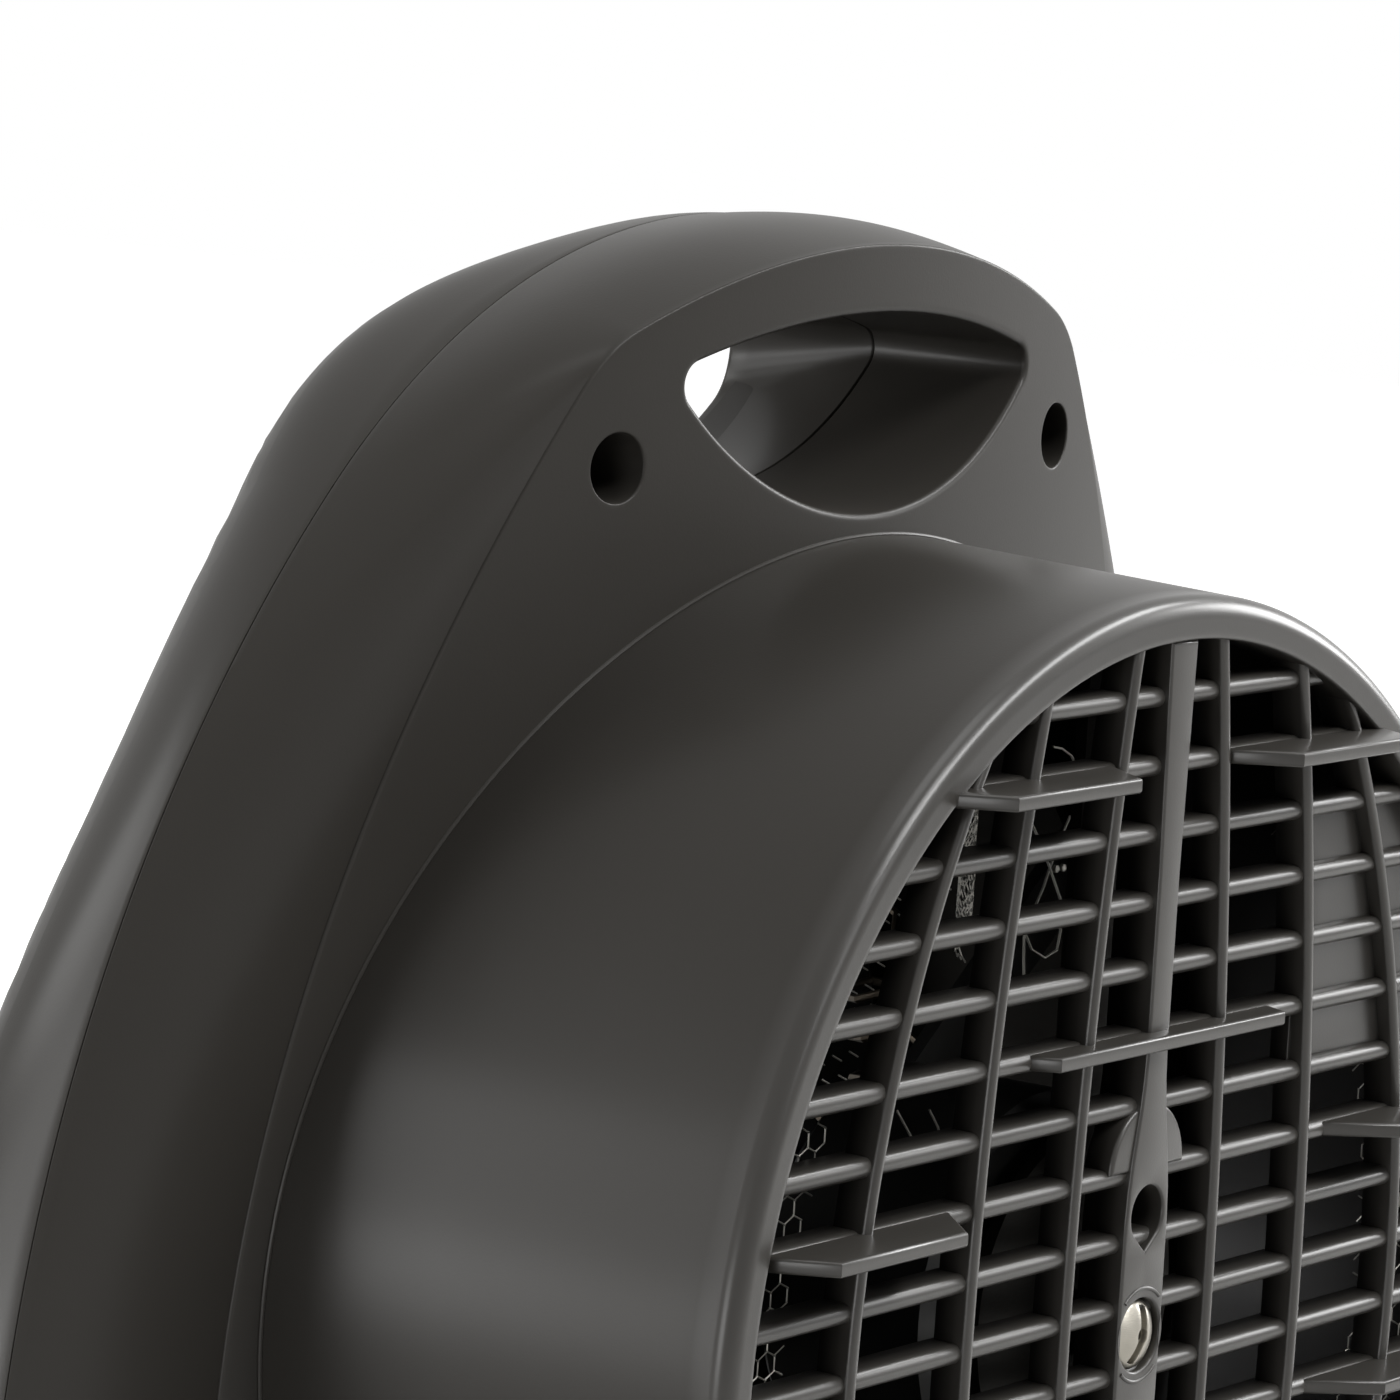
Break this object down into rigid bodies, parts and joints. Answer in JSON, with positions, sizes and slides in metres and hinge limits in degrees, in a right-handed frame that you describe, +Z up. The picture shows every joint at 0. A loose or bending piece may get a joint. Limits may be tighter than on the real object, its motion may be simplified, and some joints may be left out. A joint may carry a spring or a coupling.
{
  "type": "fan heater",
  "caption": "Upright fan heater with an arched casing, a carrying handle opening, a round rear drum with a barred grille, front outlet and knobs, on a flat base.",
  "frame": {"origin": "on the floor, under the middle of the outer box", "axes": "+Z up, the outlet and knobs face -Y, the drum and its grille face +Y"},
  "size_m": [0.2582, 0.124, 0.2846],
  "materials": {
    "front_plastic": "fine satin",
    "rear_plastic": "fine satin",
    "drum_plastic": "fine satin",
    "black_plastic": "satin",
    "guard_metal": "satin",
    "duct_metal": "plated sheet",
    "mica": "matt mineral board",
    "heating_wire": "bare alloy",
    "motor_metal": "satin",
    "bush_metal": "turned",
    "screw_metal": "bright plated",
    "shaft_metal": "ground",
    "switch_plastic": "matt",
    "knob_plastic": "semi gloss",
    "lens_plastic": "clear tinted",
    "lamp_glass": "clear",
    "white_plastic": "matt",
    "lead_sleeve": "matt",
    "black_rubber": "matt",
    "base_plastic": "fine satin",
    "plunger_plastic": "satin"
  },
  "bodies": {
    "casing": {"front_shell": "front_plastic", "rear_shell": "rear_plastic", "drum_grille": "drum_plastic", "outlet_bezel": "black_plastic", "front_guard": "guard_metal", "heater_duct": "duct_metal", "mica_boards": "mica", "outer_coil": "heating_wire", "inner_coil": "heating_wire", "thermal_cutout": "mica", "motor_can": "motor_metal", "motor_bushes": "bush_metal", "motor_bracket": "duct_metal", "bracket_screws": "screw_metal", "grille_screw": "screw_metal", "thermostat": "switch_plastic", "selector_switch": "switch_plastic", "lamp_lens": "lens_plastic", "neon_lamp": "lamp_glass", "terminal_block": "white_plastic", "supply_leads": "lead_sleeve", "cord_gland": "black_rubber", "casing_screws": "screw_metal", "base_shell": "base_plastic", "base_plate": "base_plastic", "stand_screws": "screw_metal", "base_screws": "screw_metal", "rubber_feet": "black_rubber", "tip_switch": "white_plastic", "tip_spring": "shaft_metal"},
    "rotor": {"motor_shaft": "shaft_metal", "fan_blades": "black_plastic", "fan_nut": "screw_metal"},
    "thermostat_control": {"thermostat_shaft": "shaft_metal", "thermostat_knob": "knob_plastic"},
    "selector_control": {"selector_shaft": "shaft_metal", "selector_knob": "knob_plastic"},
    "plunger": {"tip_plunger": "plunger_plastic"}
  },
  "joints": [
    {"name": "fan_spin", "type": "hinge", "parent": "casing", "child": "rotor", "pos_m": [0, 0, 0.153], "axis": [0, 1, 0], "continuous": true},
    {"name": "thermostat_turn", "type": "hinge", "parent": "casing", "child": "thermostat_control", "pos_m": [0.048, -0.05, 0.044], "axis": [0, 1, 0], "range_deg": [0, 270]},
    {"name": "selector_turn", "type": "hinge", "parent": "casing", "child": "selector_control", "pos_m": [-0.048, -0.05, 0.044], "axis": [0, 1, 0], "range_deg": [0, 135]},
    {"name": "tip_slide", "type": "slide", "parent": "casing", "child": "plunger", "axis": [0, 0, -1], "range_m": [0, 0.004], "stiffness_N_per_m": 100, "springref_m": 0.006, "deforming": ["tip_spring"]}
  ]
}
